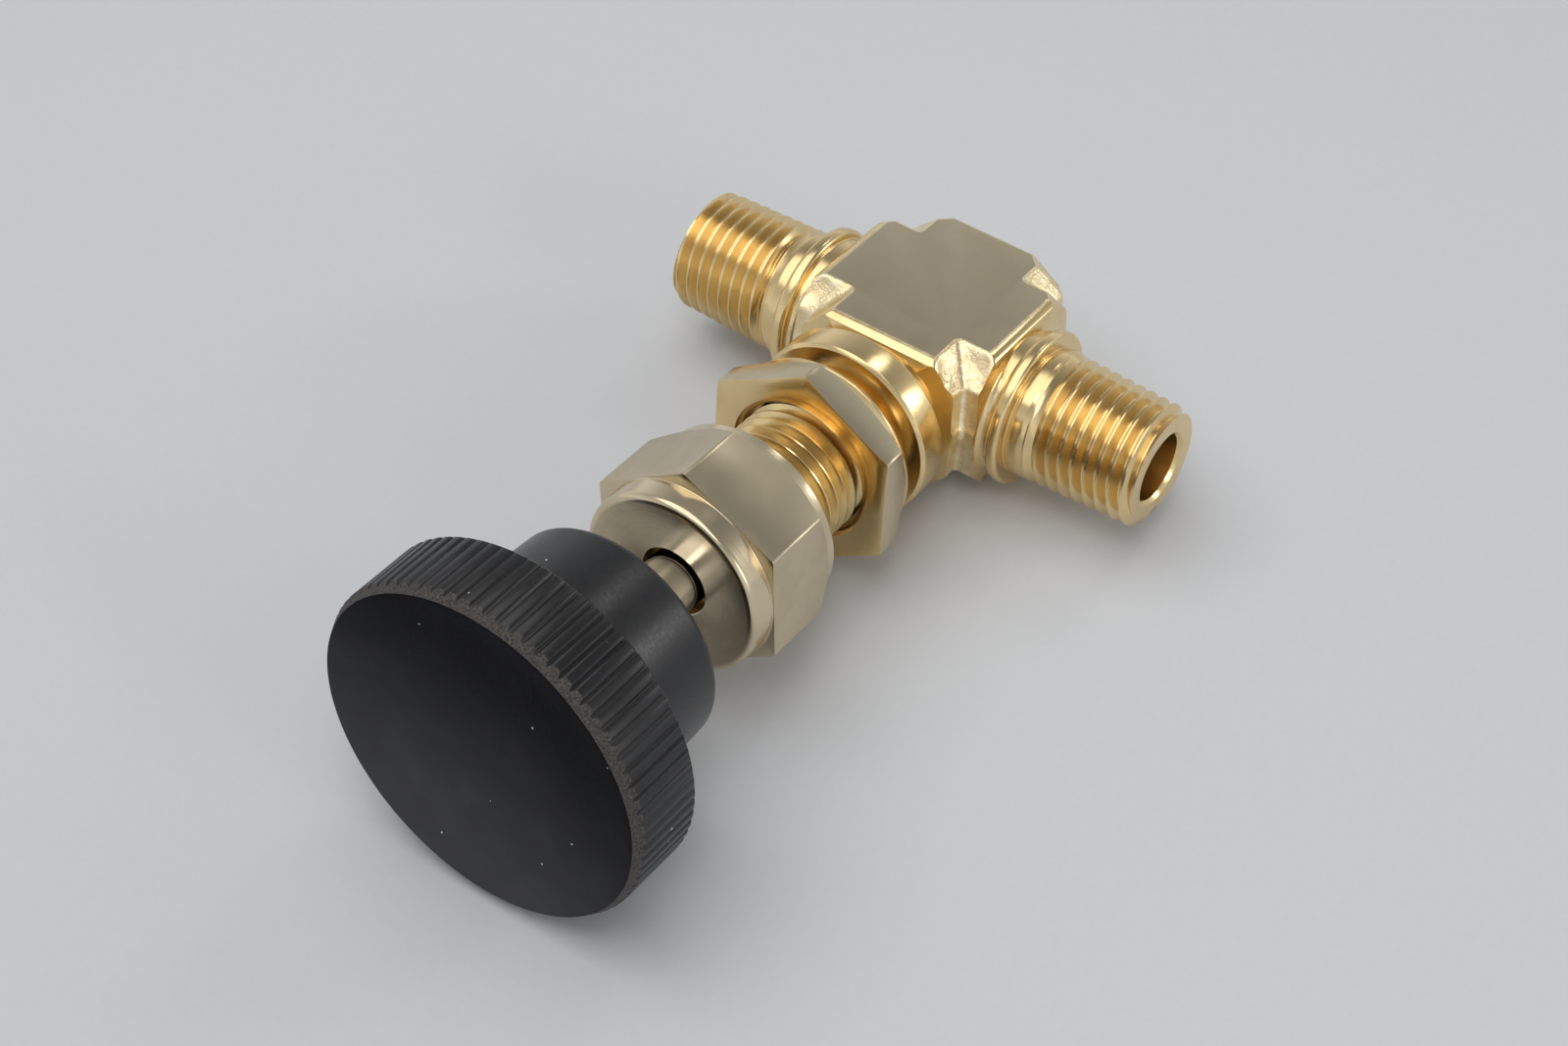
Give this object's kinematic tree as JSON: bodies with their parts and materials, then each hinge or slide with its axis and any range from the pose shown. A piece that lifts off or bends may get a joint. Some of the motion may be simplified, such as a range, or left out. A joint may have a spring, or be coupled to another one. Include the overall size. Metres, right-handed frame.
{
  "type": "needle valve",
  "caption": "Brass needle valve with in-line male pipe ends, a threaded panel-mount neck with hexagon nuts, and a round fluted black handle that screws the stem in and out.",
  "frame": {"origin": "On the stem axis, in the plane of the neck collar's face that a panel is clamped against.", "axes": "+X along the port axis toward the right port, +Z out of the upper forged flat, -Y along the stem toward the handle."},
  "size_m": [0.0572, 0.0851, 0.0366],
  "materials": {
    "forged_brass": "satin forged flats, turned ends and threads",
    "turned_brass": "bright turned and drawn",
    "stem_steel": "polished stainless",
    "screw_steel": "black oxide",
    "packing_plastic": "white fluoropolymer",
    "handle_plastic": "satin black moulded phenolic"
  },
  "bodies": {
    "body": {"valve_body": "forged_brass", "packing_nut": "turned_brass", "packing_gland": "turned_brass", "packing_ring_upper": "packing_plastic", "packing_ring_middle": "packing_plastic", "packing_ring_lower": "packing_plastic", "packing_support_washer": "turned_brass"},
    "panel_nut": {"panel_nut": "turned_brass"},
    "needle": {"needle_tip": "stem_steel"},
    "handle": {"stem": "stem_steel", "handle_knob": "handle_plastic", "handle_insert": "turned_brass", "handle_set_screw": "screw_steel"}
  },
  "joints": [
    {"name": "panel_nut_travel", "type": "slide", "parent": "body", "child": "panel_nut", "axis": [0, -1, 0], "range_m": [-0.0028, 0.0082]},
    {"name": "needle_travel", "type": "slide", "parent": "body", "child": "needle", "axis": [0, -1, 0], "range_m": [-0.00212, 0.00212]},
    {"name": "handle_turn", "type": "hinge", "parent": "needle", "child": "handle", "pos_m": [0, -0.05, 0], "axis": [0, -1, 0], "range_deg": [-720, 720]}
  ],
  "couplings": [
    {"joint": "handle_turn", "follows": "needle_travel", "rad_per_m": 5936.9}
  ]
}
